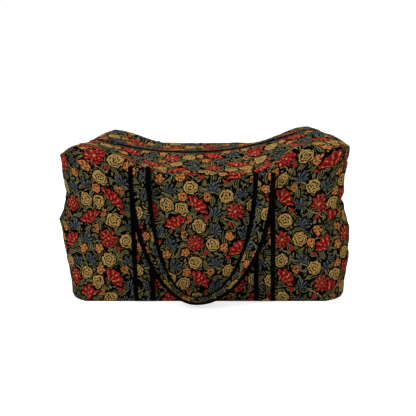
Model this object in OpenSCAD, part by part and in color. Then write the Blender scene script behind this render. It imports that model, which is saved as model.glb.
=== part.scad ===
// A soft zipped holdall of woven tapestry cloth, standing on its stiffened base.
// The front faces -Y, the length lies along X, and the origin is at floor level
// under the middle of the whole bag.
// The walls and the sagging top are sheets of cloth lofted between the same rings,
// so that neighbours meet edge to edge at their seams.

/* [Body] */
// Length of the base
base_len = 556; // [520:4:600]
// Depth of the base
base_depth = 270; // [240:5:310]
// Thickness of the lined cloth
cloth_t = 1.8; // [1.2:0.1:2.6]
// Height of the front seam at the middle of the bag
front_h = 258; // [235:1:280]
// How much higher the back seam stands
back_lift = 27; // [5:1:35]
// Rise of the front seam to its left corner
front_left_rise = 50; // [30:1:55]
// Rise of the front seam to its right corner
front_right_rise = 51; // [30:1:60]
// Rise of the back seam to its left corner
back_left_rise = 30; // [15:1:40]
// Rise of the back seam to its right corner
back_right_rise = 36; // [20:1:45]
// Drop of the left end's seam below the line of the zip
left_end_drop = 12; // [4:1:24]
// Drop of the right end's seam below the line of the zip
right_end_drop = 16; // [8:1:30]

/* [Sag and folds] */
// How far each end wall swells past the base
end_bulge = 9; // [2:1:24]
// How deep the level crease across each end wall is
end_crease = 12; // [0:1:18]
// How far each end wall leans in towards its top seam
end_shoulder = 28; // [20:1:40]
// How far the long walls swell at half height
side_bulge = 5; // [0:0.5:6]
// How far the long walls lean in towards their top seams
side_shoulder = 3; // [0:0.5:6]
// How far the top leans over to the right
lean = 11; // [0:1:18]
// How far the body has slumped to the left at half height
body_slump = 9; // [0:1:14]
// How far the base sits to the right under it
foot_shift = 6; // [0:1:10]
// How far the front panel's side seams sit to the right at half height
front_slip = 18; // [0:1:24]
// How far the top panels sag between zip and seam
top_sag = 5; // [0:0.5:8]
// Share of the length by which the back seam is shorter than the front one
back_draw = 0.12; // [0:0.01:0.16]
// Share of the half length that the rounding at the base's corners takes
corner_low = 0.16; // [0.1:0.01:0.2]
// Share that it takes at the top seams
corner_high = 0.06; // [0.03:0.01:0.1]
// Height of the loose folds in the end walls
end_fold = 3; // [0:0.5:4]
// Height of the long soft waves in the front and back walls
side_wave = 1.2; // [0:0.1:1.5]

/* [Base] */
// Thickness of the stiffening board
board_t = 3; // [2:0.5:5]
// Free edge left between board and walls
board_gap = 5; // [2:0.5:12]

/* [Straps and handles] */
// Distance from the middle of a pair of straps to the middle of each strap
strap_x = 117.5; // [100:0.5:135]
// How far the pair of straps sits to the left of the middle at the base
strap_shift = 0; // [-4:0.5:8]
// How much further to the left it sits at the top seam
strap_lean = 5.5; // [0:0.5:8]
// Distance from the top seam down to a strap's bend at the front
front_strap_drop = 4; // [1:0.5:10]
// The same at the back, where the bend hides behind the seam
back_strap_drop = 9; // [4:0.5:14]
// Width of the strap's patterned band
band_w = 23; // [18:1:28]
// Thickness of the strap's band
band_t = 2; // [1.4:0.1:2.2]
// Width of each bound edge
binding_w = 9.5; // [5:0.5:12]
// Thickness of each bound edge
binding_t = 2.8; // [2.4:0.1:3.2]
// Gap between the sewn strap and the wall
sewn_gap = 0.4; // [0.3:0.1:0.8]
// Gap between the band and each bound edge
binding_gap = 0.2; // [0.1:0.05:0.3]
// Radius of the strap's bend where it turns into the handle
fold_r = 6; // [5:0.5:8]
// Drop of a handle below its bend
handle_drop = 245; // [200:1:249]
// How far the handle's lowest point sits to the left of its middle
handle_slew = 13; // [0:1:20]
// Turn of the handle's lowest stretch towards lying flat, in degrees
handle_turn = 88; // [60:1:90]

/* [Zip] */
// Radius of the sagging zip
zip_r = 640; // [600:5:760]
// Height of the zip's lowest point above the middle of the front seam
zip_rise = 17.6; // [14:0.2:22]
// Distance of the lowest point to the left of the middle
zip_left = 35; // [20:1:45]
// Width of the open slot between the top panels
slot_w = 15; // [14.4:0.2:18]
// Level margin of the top panels past the zip tapes
seat_margin = 1.5; // [0.5:0.5:3]
// Width of each zip tape
tape_w = 13; // [11:0.5:15]
// Thickness of a zip tape
tape_t = 0.8; // [0.5:0.1:1]
// Distance from one tooth to the next on one tape
tooth_pitch = 4; // [3.6:0.2:5]
// Thickness of a tooth
tooth_t = 3; // [2.4:0.2:3.4]
// Reach of a tooth from the middle line to its tape
tooth_reach = 3.4; // [3:0.1:3.8]
// Overlap of each tooth past the middle line
tooth_lock = 1; // [0.6:0.1:1.2]
// Clearance between neighbouring teeth
tooth_gap = 0.12; // [0.1:0.02:0.3]

/* [Slider] */
// Length of the slider
slider_len = 17; // [14:0.5:20]
// Width of the slider
slider_w = 11.4; // [11:0.2:12]
// Thickness of the slider's plates
plate_t = 1.5; // [1:0.1:2]
// Running clearance round the teeth
run_gap = 0.4; // [0.3:0.05:0.5]
// Diameter of the bar that the pull hangs on
bar_d = 2; // [1.6:0.1:2.4]
// Length of the pull tab
pull_len = 27; // [20:1:32]
// Width of the pull tab
pull_w = 8; // [6.6:0.2:9]
// Thickness of the pull tab
pull_t = 1.6; // [1.2:0.1:2]
// Tilt of the pull tab above the teeth where it lies at rest, in degrees
pull_tilt = 4; // [3:0.5:8]

/* [Hidden] */

FRONT = -1;
BACK = 1;
LEFT = -1;
RIGHT = 1;

// Heights of the rings, and places across the long walls and the end walls, as shares
ring_count = 18;
column_count = 26;
top_rows = 5;
RINGS = [for (i = [0:ring_count]) i / ring_count];
// Share of even spacing in the columns, which crowd towards the ends
column_even = 0.55;
function spread(u) = column_even * u + (1 - column_even) * sin(90 * u);
COLUMNS = [for (i = [0:column_count]) spread(2 * i / column_count - 1)];
// The zip stops this many columns short of the end seams
left_tab_columns = 3;
right_tab_columns = 4;

// Shape of the bag
bulge_top = 0.5;
crease_at = 0.69;
crease_half = 0.15;
bulge_pow = 2;
shoulder_pow = 22;
lean_pow = 4;
draw_pow = 3;
corner_pow = 6;
corner_high_pow = 8;
corner_swell = 0.04;
slip_pow = 5;
slump_pow = 1.8;
foot_pow = 2;
fold_count = 2.5;
wave_count = 1.6;

// Where the long seams start to rise to the corners, as shares from the middle to an end
front_left_from = 0.3;
front_right_from = 0.36;
front_right_to = 0.72;
back_rise_from = 0.42;

function smooth(a, b, v) = let (q = min(1, max(0, (v - a) / (b - a)))) q * q * (3 - 2 * q);
function crease(t) = exp(-pow((t - crease_at) / crease_half, 2));

function half_len(t) = base_len / 2
    + end_bulge * pow(sin(90 * min(1, t / bulge_top)), bulge_pow)
    - end_crease * crease(t)
    - end_shoulder * pow(t, shoulder_pow);

function half_dep(t) = base_depth / 2
    + side_bulge * sin(180 * t)
    - side_shoulder * pow(t, shoulder_pow);

// Loose folds, which die out at the base, the top seams and the corners
function end_folds(eta, t) =
    end_fold * sin(180 * t) * (1 - eta * eta) * sin(360 * (fold_count * eta + t) / 2);
function side_waves(xi, t) =
    side_wave * sin(180 * t) * (1 - xi * xi) * sin(360 * (wave_count * xi + t / 2));

// The share xi runs from the left end to the right, and eta from front to back
function draw_in(eta, t) = 1 - back_draw * pow(t, draw_pow) * (eta + 1) / 2;
function corner_cut(t) = corner_low + corner_swell * sin(180 * t)
    - (corner_low - corner_high) * pow(t, corner_high_pow);
function round_off(eta, t) = 1 - corner_cut(t) * pow(abs(eta), corner_pow);
function slide_x(eta, t) = lean * pow(t, lean_pow) * eta * eta
    + front_slip * sin(180 * t) * pow((1 - eta) / 2, slip_pow)
    - body_slump * sin(180 * pow(t, slump_pow))
    + foot_shift * pow(1 - t, foot_pow);
function plan_x(xi, eta, t, inset) =
    (half_len(t) + end_folds(eta, t) * abs(xi) - inset) * xi * round_off(eta, t) * draw_in(eta, t)
    + slide_x(eta, t);
function plan_y(xi, eta, t, inset) =
    (half_dep(t) + side_waves(xi, t) * abs(eta) - inset) * eta;

// The zip's arc, as seen from the front
zip_z = front_h + zip_rise + zip_r;
left_tab_xi = COLUMNS[left_tab_columns];
right_tab_xi = COLUMNS[column_count - right_tab_columns];
function tab_xi(side) = side == LEFT ? left_tab_xi : right_tab_xi;
seat_gap = 0.25;
edge_gap = 0.1;
tape_edge = tooth_reach + edge_gap + tape_w;
slot_eta = slot_w / 2 / half_dep(1);
// The top panels lie level on the tapes up to this share, and only then slope to their seams
seat_eta = (tape_edge + seat_margin) / half_dep(1);
function arc_z(x, above) = zip_z - sqrt(pow(zip_r - above, 2) - pow(x + zip_left, 2));
function arc_slope(x) = (x + zip_left) / sqrt(zip_r * zip_r - pow(x + zip_left, 2));
function arc_angle(x) = asin((x + zip_left) / zip_r);
function middle_x(xi) = plan_x(xi, 0, 1, 0);
slot_above = tape_t / 2 + seat_gap + cloth_t;

// Past the zip's end the middle of the top rounds over to the end seam
function end_drop(xi) = xi < 0 ? left_end_drop : right_end_drop;
function middle_z(xi) =
    let (x_end = middle_x(tab_xi(sign(xi))))
    let (z_end = arc_z(x_end, slot_above))
    let (run = middle_x(xi) - x_end)
    let (full = middle_x(sign(xi)) - x_end)
    xi >= left_tab_xi && xi <= right_tab_xi
        ? arc_z(middle_x(xi), slot_above)
        : z_end + arc_slope(x_end) * run - end_drop(xi) * pow(run / full, 2);

function front_seam_z(xi) = front_h
    + front_left_rise * smooth(front_left_from, 1, -xi)
    + front_right_rise * smooth(front_right_from, front_right_to, xi);
function back_seam_z(xi) = front_h + back_lift
    + back_left_rise * smooth(back_rise_from, 1, -xi)
    + back_right_rise * smooth(back_rise_from, 1, xi);
function seam_z(xi, eta) = eta < 0 ? front_seam_z(xi) : back_seam_z(xi);
function top_z(xi, eta) =
    let (v = max(0, abs(eta) - seat_eta) / (1 - seat_eta))
    middle_z(xi) + (seam_z(xi, eta) - middle_z(xi)) * v
    - top_sag * sin(180 * v) * (1 - pow(xi, 4));

function wall_point(xi, eta, t, inset) = [
    plan_x(xi, eta, t, inset),
    plan_y(xi, eta, t, inset),
    t * (top_z(xi, eta) - inset)
];
function top_point(xi, eta, inset) = [
    plan_x(xi, eta, 1, inset),
    plan_y(xi, eta, 1, inset),
    top_z(xi, eta) - inset
];

// Places across the top from a long seam to the slot, and across an end wall
function half_etas(side) = concat(
    [for (i = [0:top_rows]) side * mix(1, seat_eta, spread_out(i / top_rows))],
    [side * slot_eta]
);
function mix(a, b, v) = a + (b - a) * v;
function spread_out(v) = v * (0.5 + 0.5 * v);
function reversed(list) = [for (i = [len(list) - 1:-1:0]) list[i]];
END_ETAS = concat(half_etas(FRONT), reversed(half_etas(BACK)));

// A closed sheet of cloth between an outer and an inner grid of points
function strip(a, b, flip) = [
    for (i = [0:len(a) - 2]) each flip
        ? [[a[i], b[i + 1], b[i]], [a[i], a[i + 1], b[i + 1]]]
        : [[a[i], b[i], b[i + 1]], [a[i], b[i + 1], a[i + 1]]]
];
function column(grid, c) = [for (row = grid) row[c]];

module sheet(outer, inner, flip) {
    rows = len(outer);
    cols = len(outer[0]);
    out_ids = [for (r = [0:rows - 1]) [for (c = [0:cols - 1]) r * cols + c]];
    in_ids = [for (r = [0:rows - 1]) [for (c = [0:cols - 1]) (rows + r) * cols + c]];
    faces = concat(
        [for (r = [0:rows - 2]) each strip(out_ids[r], out_ids[r + 1], flip)],
        [for (r = [0:rows - 2]) each strip(in_ids[r], in_ids[r + 1], !flip)],
        strip(out_ids[0], in_ids[0], !flip),
        strip(out_ids[rows - 1], in_ids[rows - 1], flip),
        strip(column(out_ids, 0), column(in_ids, 0), flip),
        strip(column(out_ids, cols - 1), column(in_ids, cols - 1), !flip)
    );
    points = concat([for (row = outer) each row], [for (row = inner) each row]);
    polyhedron(points, faces);
}

// Panels

module long_panel(side) {
    grid = [for (inset = [0, cloth_t])
        [for (t = RINGS) [for (xi = COLUMNS) wall_point(xi, side, t, inset)]]];
    color("darkolivegreen") sheet(grid[0], grid[1], side == BACK);
}

module end_panel(side) {
    grid = [for (inset = [0, cloth_t])
        [for (t = RINGS) [for (eta = END_ETAS) wall_point(side, eta, t, inset)]]];
    color("olive") sheet(grid[0], grid[1], side == LEFT);
}

module top_panel(side) {
    grid = [for (inset = [0, cloth_t])
        [for (eta = half_etas(side)) [for (xi = COLUMNS) top_point(xi, eta, inset)]]];
    color("darkkhaki") sheet(grid[0], grid[1], side == BACK);
}

// Cloth tab that closes the slot between the zip's end and the end seam
module zip_tab(side) {
    columns = [for (xi = COLUMNS) if (side * xi >= side * tab_xi(side)) xi];
    grid = [for (inset = [0, cloth_t])
        [for (eta = [-slot_eta, slot_eta]) [for (xi = columns) top_point(xi, eta, inset)]]];
    color("darkkhaki") sheet(grid[0], grid[1], false);
}

// The lower ring of the walls, inside the cloth
function base_ring(inset) = concat(
    [for (xi = COLUMNS) [plan_x(xi, FRONT, 0, inset), plan_y(xi, FRONT, 0, inset)]],
    [for (eta = END_ETAS) [plan_x(RIGHT, eta, 0, inset), plan_y(RIGHT, eta, 0, inset)]],
    [for (xi = reversed(COLUMNS)) [plan_x(xi, BACK, 0, inset), plan_y(xi, BACK, 0, inset)]],
    [for (eta = reversed(END_ETAS)) [plan_x(LEFT, eta, 0, inset), plan_y(LEFT, eta, 0, inset)]]
);
function distinct(ring) =
    [for (i = [0:len(ring) - 1]) if (norm(ring[i] - ring[(i + 1) % len(ring)]) > 0.01) ring[i]];

// The base lies this far inside the walls
base_gap = 0.15;

module base_panel() {
    color("darkolivegreen")
    linear_extrude(cloth_t)
    polygon(distinct(base_ring(cloth_t + base_gap)));
}

module base_board() {
    color("dimgray")
    translate([0, 0, cloth_t])
    linear_extrude(board_t)
    polygon(distinct(base_ring(cloth_t + board_gap)));
}

// Straps
// A strap is sewn up the wall from the base seam to the top seam, bends forward there,
// hangs as the handle and runs back down the wall on the other side.

strap_rings = 14;
bend_rings = 5;
loop_rings = 34;
turn_pow = 1.3;
hang_clear = 0.7;
strap_foot = 2;
half_band = band_w / 2;
half_strap = half_band + binding_w;

function strap_mid(hand, t) = hand * strap_x - strap_shift - strap_lean * t;
// The wall's own place behind a point of the strap, and how far out it lies there
function wall_xi(x, side, t) =
    (x - slide_x(side, t)) / (half_len(t) * round_off(side, t) * draw_in(side, t));
function wall_out(x, side, t, z) =
    let (xi = wall_xi(x, side, t))
    let (own_t = min(1, z / seam_z(xi, side)))
    abs(plan_y(xi, side, own_t, 0));
function seam_behind(hand, side) = seam_z(wall_xi(strap_mid(hand, 1), side, 1), side);
function lay_y(hand, side, t) =
    let (x = strap_mid(hand, t), z = t * seam_behind(hand, side))
    let (outs = [for (u = [-1:0.5:1]) wall_out(x + u * half_strap, side, t, z)])
    max(outs) + sewn_gap + binding_t / 2;
function strap_drop(side) = side == FRONT ? front_strap_drop : back_strap_drop;
function strap_top(hand, side) = seam_behind(hand, side) - strap_drop(side) - fold_r;
function bend_t(hand, side) = strap_top(hand, side) / seam_behind(hand, side);
function top_mid(hand, side) = strap_mid(hand, bend_t(hand, side));

// Each station holds its middle point and the direction of its width
function sewn_leg(hand, side) =
    let (t_top = bend_t(hand, side), z_top = strap_top(hand, side))
    [for (i = [0:strap_rings])
        let (z = mix(strap_foot, z_top, i / strap_rings), t = t_top * z / z_top)
        [[strap_mid(hand, t), side * lay_y(hand, side, t), z], [hand, 0, 0]]];
function bend(hand, side) =
    let (t_top = bend_t(hand, side), y_mid = lay_y(hand, side, t_top) + fold_r)
    [for (i = [1:bend_rings - 1])
        let (a = 180 * i / bend_rings)
        [[top_mid(hand, side), side * (y_mid - fold_r * cos(a)),
          strap_top(hand, side) + fold_r * sin(a)], [hand, 0, 0]]];

// The handle hangs as half an ellipse whose two sides differ, and turns flat at its bottom
loop_mid_x = -strap_shift - strap_lean - handle_slew;
function loop_station(side, a) =
    let (half = abs(top_mid(a < 0 ? LEFT : RIGHT, side) - loop_mid_x))
    let (turn = handle_turn * pow(cos(a), turn_pow))
    let (z_top = mix(strap_top(LEFT, side), strap_top(RIGHT, side), (sin(a) + 1) / 2))
    let (y_top = mix(hang_y(LEFT, side), hang_y(RIGHT, side), (sin(a) + 1) / 2))
    let (tangent = unit([half * cos(a), 0, handle_drop * sin(a)]))
    let (outward = [tangent[2], 0, -tangent[0]])
    [[loop_mid_x + half * sin(a),
      side * (y_top + hang_clear * half_strap * sin(turn)),
      z_top - handle_drop * cos(a)],
     outward * cos(turn) + [0, side * sin(turn), 0]];
function hang_y(hand, side) = lay_y(hand, side, bend_t(hand, side)) + 2 * fold_r;
function unit(v) = v / norm(v);

function strap_path(side) = concat(
    sewn_leg(LEFT, side),
    bend(LEFT, side),
    [for (i = [0:loop_rings]) loop_station(side, -90 + 180 * i / loop_rings)],
    reversed(bend(RIGHT, side)),
    reversed(sewn_leg(RIGHT, side))
);

// Sweeps a flat section along the path, from one place across its width to another
function ring_at(path, i, from, to, thick) =
    let (p = path[i][0], across = unit(path[i][1]))
    let (before = path[max(0, i - 1)][0], after = path[min(len(path) - 1, i + 1)][0])
    let (face = unit(cross(unit(after - before), across)))
    let (low = p + across * from, high = p + across * to, lift = face * thick / 2)
    [low + lift, high + lift, high - lift, low - lift];

module swept(path, from, to, thick) {
    last = len(path) - 1;
    points = [for (i = [0:last]) each ring_at(path, i, from, to, thick)];
    ids = [for (i = [0:last]) [for (k = [0:4]) 4 * i + k % 4]];
    first_cap = [[2, 1, 0], [3, 2, 0]];
    last_cap = [[0, 1, 2], [0, 2, 3]];
    faces = concat(
        [for (i = [0:last - 1]) each strip(ids[i], ids[i + 1], true)],
        first_cap,
        [for (f = last_cap) f + [4 * last, 4 * last, 4 * last]]
    );
    polyhedron(points, faces);
}

module strap_band(side) {
    color("darkgoldenrod") swept(strap_path(side), -half_band, half_band, band_t);
}

module strap_outer_binding(side) {
    color("black") swept(strap_path(side), half_band + binding_gap, half_strap, binding_t);
}

module strap_inner_binding(side) {
    color("black") swept(strap_path(side), -half_strap, -half_band - binding_gap, binding_t);
}

// Zip
// Everything on the zip lies on one arc about an axis along Y, high above the bag.

tab_gap = 0.3;
stop_len = 4;
left_end_a = arc_angle(plan_x(left_tab_xi, 0, 1, cloth_t));
right_end_a = arc_angle(plan_x(right_tab_xi, 0, 1, cloth_t));
degrees_per_mm = 180 / (PI * zip_r);
tape_from = left_end_a + tab_gap * degrees_per_mm;
tape_to = right_end_a - tab_gap * degrees_per_mm;
stop_half = tooth_reach;
stop_split = 1;

// Places its children at an angle along the arc, with X along the zip and Z up from it
module on_arc(angle) {
    translate([-zip_left, 0, zip_z])
    rotate([0, -angle, 0])
    translate([0, 0, -zip_r])
    children();
}

// Revolves a section, drawn with X out from the axis and Y to the front, along the arc
module along_arc(from, to) {
    translate([-zip_left, 0, zip_z])
    rotate([90, 0, 0])
    rotate([0, 0, from - 90])
    rotate_extrude(angle = to - from, $fn = 720)
    children();
}

module zip_tape(side) {
    near = tooth_reach + edge_gap;
    color("black")
    along_arc(tape_from, tape_to)
    translate([zip_r - tape_t / 2, side == FRONT ? near : -near - tape_w])
    square([tape_t, tape_w]);
}

// A tooth lies across the zip: a stem at the tape, and a wider head past the middle line
tooth_head = tooth_pitch / 2 - tooth_gap;
tooth_stem = tooth_head * 0.72;
neck = tooth_lock + tooth_gap;
tooth_step = tooth_pitch * degrees_per_mm;
slider_a = tape_from + (stop_len + slider_len / 2 + edge_gap) * degrees_per_mm;
teeth_from = slider_a + tooth_step;
teeth_to = tape_to - stop_len * degrees_per_mm - tooth_step;
tooth_count = floor((teeth_to - teeth_from) / tooth_step);

module tooth() {
    translate([0, 0, -tooth_t / 2])
    linear_extrude(tooth_t)
    polygon([
        [-tooth_head / 2, -tooth_lock],
        [tooth_head / 2, -tooth_lock],
        [tooth_head / 2, neck],
        [tooth_stem / 2, neck],
        [tooth_stem / 2, tooth_reach],
        [-tooth_stem / 2, tooth_reach],
        [-tooth_stem / 2, neck],
        [-tooth_head / 2, neck]
    ]);
}

module zip_teeth(side) {
    offset_a = side == FRONT ? 0 : tooth_step / 2;
    color("dimgray")
    for (i = [0:tooth_count - 1])
        on_arc(teeth_from + offset_a + i * tooth_step)
        mirror([0, side == FRONT ? 1 : 0, 0])
        tooth();
}

// The slider closes the zip to the left, against one stop on each tape
module left_zip_stops() {
    color("dimgray")
    for (side = [FRONT, BACK])
        on_arc(tape_from + stop_len / 2 * degrees_per_mm)
        translate([0, side * (stop_half + stop_split / 2) / 2, 0])
        cube([stop_len, stop_half - stop_split / 2, tooth_t], center = true);
}

// The stop at the right joins both tapes
module right_zip_stop() {
    color("dimgray")
    on_arc(tape_to - stop_len / 2 * degrees_per_mm)
    cube([stop_len, 2 * stop_half, tooth_t], center = true);
}

// Slider
// Two plates joined by a post, whose turned-in edges leave a slit for each tape.

inner_half = tooth_t / 2 + run_gap;
outer_half = inner_half + plate_t;
throat_half = tooth_reach + run_gap;
slit_half = tape_t / 2 + run_gap;
post_len = slider_len * 0.32;
post_w = 2.2;
post_inset = 1;
waist = 1;
eye_gap = 0.5;
eye_wall = 1.2;
eye_d = bar_d + 2 * eye_gap;
eye_r = eye_d / 2 + eye_wall;
lug_t = 1.2;
lug_len = bar_d + 3;
lug_over = 0.4;
lug_gap = 0.3;
bar_x = slider_len * 0.1;
bar_z = outer_half + eye_r + lug_gap;

module zip_slider() {
    color("black") on_arc(slider_a) mirror([1, 0, 0]) {
        difference() {
            slider_body();
            translate([-slider_len, -throat_half, -inner_half])
                cube([2 * slider_len, 2 * throat_half, 2 * inner_half]);
            translate([-slider_len, -slider_w, -slit_half])
                cube([2 * slider_len, 2 * slider_w, 2 * slit_half]);
        }
        slider_post();
        pull_bridge();
    }
}

module slider_body() {
    nose = slider_w / 2;
    intersection() {
        translate([-slider_len / 2, -slider_w / 2, -outer_half])
            cube([slider_len, slider_w, 2 * outer_half]);
        union() {
            translate([slider_len / 2 - nose, 0, 0])
                cylinder(h = 2 * outer_half, r = nose, center = true, $fn = 48);
            translate([-slider_len / 2, -slider_w / 2 + waist, -outer_half])
                cube([slider_len - nose, slider_w - 2 * waist, 2 * outer_half]);
            translate([slider_len / 2 - 2 * nose, -slider_w / 2, -outer_half])
                cube([nose, slider_w, 2 * outer_half]);
        }
    }
}

module slider_post() {
    translate([slider_len / 2 - post_len - post_inset, -post_w / 2, -inner_half - plate_t / 2])
        cube([post_len, post_w, 2 * inner_half + plate_t]);
}

// A low bridge of two lugs and a round bar across the slider
module pull_bridge() {
    lug_y = pull_eye_half + lug_gap;
    lug_from = outer_half - plate_t / 2;
    lug_to = bar_z + bar_d / 2 + lug_over;
    for (side = [-1, 1])
        translate([bar_x - lug_len / 2, side * (lug_y + lug_t / 2) - lug_t / 2, lug_from])
            cube([lug_len, lug_t, lug_to - lug_from]);
    translate([bar_x, 0, bar_z])
        rotate([90, 0, 0])
        cylinder(h = 2 * lug_y + lug_t, d = bar_d, center = true, $fn = 32);
}

// Pull tab
// It hangs on the bridge's bar by a neck with a round eye, and lies back over the teeth.

pull_eye_half = 1.8;
pull_neck = 7;
hole_d = 3.6;

module zip_pull() {
    color("black")
    on_arc(slider_a)
    mirror([1, 0, 0])
    translate([bar_x, 0, bar_z])
    rotate([0, pull_tilt, 0])
    difference() {
        union() {
            rotate([90, 0, 0])
                cylinder(h = 2 * pull_eye_half, r = eye_r, center = true, $fn = 48);
            translate([-pull_neck - 1, -pull_eye_half, -pull_t / 2])
                cube([pull_neck + 1, 2 * pull_eye_half, pull_t]);
            translate([-pull_len + pull_w / 2, -pull_w / 2, -pull_t / 2])
                cube([pull_len - pull_w / 2 - pull_neck, pull_w, pull_t]);
            translate([-pull_len + pull_w / 2, 0, 0])
                cylinder(h = pull_t, d = pull_w, center = true, $fn = 48);
        }
        rotate([90, 0, 0])
            cylinder(h = 3 * pull_eye_half, d = eye_d, center = true, $fn = 48);
        translate([-pull_len + pull_w / 2, 0, 0])
            cylinder(h = 2 * pull_t, d = hole_d, center = true, $fn = 48);
    }
}

// The slumped bag leans off its base, so this moves its outermost points evenly about X = 0
function end_xs(side) =
    [for (t = RINGS) for (eta = END_ETAS) wall_point(side, eta, t, 0)[0]];
centre_shift = -(min(end_xs(LEFT)) + max(end_xs(RIGHT))) / 2;

module centred() {
    translate([centre_shift, 0, 0]) children();
}

centred() long_panel(FRONT);  // front_panel
centred() long_panel(BACK);  // back_panel
centred() end_panel(LEFT);  // left_end_panel
centred() end_panel(RIGHT);  // right_end_panel
centred() base_panel();
centred() top_panel(FRONT);  // top_front_panel
centred() top_panel(BACK);  // top_back_panel
centred() base_board();
centred() strap_band(FRONT);  // front_strap_band
centred() strap_outer_binding(FRONT);  // front_strap_outer_binding
centred() strap_inner_binding(FRONT);  // front_strap_inner_binding
centred() strap_band(BACK);  // back_strap_band
centred() strap_outer_binding(BACK);  // back_strap_outer_binding
centred() strap_inner_binding(BACK);  // back_strap_inner_binding
centred() zip_tape(FRONT);  // front_zip_tape
centred() zip_tape(BACK);  // back_zip_tape
centred() zip_teeth(FRONT);  // front_zip_teeth
centred() zip_teeth(BACK);  // back_zip_teeth
centred() left_zip_stops();
centred() right_zip_stop();
centred() zip_tab(LEFT);  // left_zip_tab
centred() zip_tab(RIGHT);  // right_zip_tab
centred() zip_slider();
centred() zip_pull();
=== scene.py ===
# %% [markdown]
# # A carpet bag in tapestry cloth
# The real bag is a soft zipped holdall of floral tapestry, with a board in its base and two
# strap handles with black bound edges. The CAD model gives every piece its size and place.
# This script dresses it: the cloth panels and the straps are made anew with fine folds, and
# the zip keeps its CAD solids and gets its finishes.

# %% Load the frame
import math

import bpy
import numpy as np
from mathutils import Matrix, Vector, noise


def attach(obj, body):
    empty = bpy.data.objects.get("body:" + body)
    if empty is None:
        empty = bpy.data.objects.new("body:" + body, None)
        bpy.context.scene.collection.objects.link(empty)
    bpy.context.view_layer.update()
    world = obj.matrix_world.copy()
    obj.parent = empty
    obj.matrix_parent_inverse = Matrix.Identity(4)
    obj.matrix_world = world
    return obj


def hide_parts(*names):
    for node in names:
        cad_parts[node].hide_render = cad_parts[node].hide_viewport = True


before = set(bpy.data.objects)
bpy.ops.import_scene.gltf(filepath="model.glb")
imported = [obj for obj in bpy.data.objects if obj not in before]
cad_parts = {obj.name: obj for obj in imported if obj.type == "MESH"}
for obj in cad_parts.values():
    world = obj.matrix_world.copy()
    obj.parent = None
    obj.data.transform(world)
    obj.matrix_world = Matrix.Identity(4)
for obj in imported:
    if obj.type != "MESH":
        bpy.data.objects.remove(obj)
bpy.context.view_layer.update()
MM = 0.001
print("nodes in the frame:", len(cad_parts))

# %% [markdown]
# ## Camera
# The photo looks at the bag from straight ahead and a little above. A long lens from a metre
# and a half keeps the sides nearly parallel. The point that it aims at is on the middle line
# of the bag, and a small shift sets the bag as high in the picture as it is in the photo.

# %% Camera
AIM = Vector((0.0084, 0, 0.150))
DISTANCE = 1.5
ELEVATION = math.radians(12)
FOCAL_LENGTH = 61.5
SHIFT_UP = 0.0115

camera_data = bpy.data.cameras.new("camera")
camera_data.lens = FOCAL_LENGTH
camera_data.shift_y = SHIFT_UP
camera = bpy.data.objects.new("camera", camera_data)
away = Vector((0, -math.cos(ELEVATION), math.sin(ELEVATION)))
camera.location = AIM + DISTANCE * away
camera.rotation_euler = (math.pi / 2 - ELEVATION, 0, 0)
bpy.context.scene.collection.objects.link(camera)
bpy.context.scene.camera = camera
bpy.context.scene.view_settings.view_transform = "Standard"
print("camera at", [round(v, 3) for v in camera.location])

# %% [markdown]
# ## Shader expressions
# A tapestry pattern takes a lot of arithmetic. Wiring each sum by hand hides the idea, so a
# small class wraps a node's output, and Python's own operators add the Math nodes. Numbers
# that don't change over the cloth are worked out in Python, before any node is made.

# %% A value on a wire
class Wire:
    """The output of a node, which can be used in expressions like a number."""

    def __init__(self, paint, socket):
        self.paint = paint
        self.socket = socket

    def __add__(self, other):
        return self.paint.math("ADD", self, other)

    def __radd__(self, other):
        return self.paint.math("ADD", other, self)

    def __sub__(self, other):
        return self.paint.math("SUBTRACT", self, other)

    def __rsub__(self, other):
        return self.paint.math("SUBTRACT", other, self)

    def __mul__(self, other):
        return self.paint.math("MULTIPLY", self, other)

    def __rmul__(self, other):
        return self.paint.math("MULTIPLY", other, self)

    def __truediv__(self, other):
        return self.paint.math("DIVIDE", self, other)

    def __lt__(self, other):
        return self.paint.math("LESS_THAN", self, other)

    def __gt__(self, other):
        return self.paint.math("GREATER_THAN", self, other)

    def __abs__(self):
        return self.paint.math("ABSOLUTE", self)

    def __pow__(self, other):
        return self.paint.math("POWER", self, other)


# %% [markdown]
# One more class holds a material's node tree. Its method `node` adds any node: first the
# settings, such as an operation, and then each socket's number or link.

# %% A material to paint
def linear(red, green, blue):
    """A colour as it looks on a screen, 0 to 255, turned into the shader's light values."""
    def channel(c):
        c /= 255
        return c / 12.92 if c <= 0.04045 else ((c + 0.055) / 1.055) ** 2.4
    return (channel(red), channel(green), channel(blue), 1.0)


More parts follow.
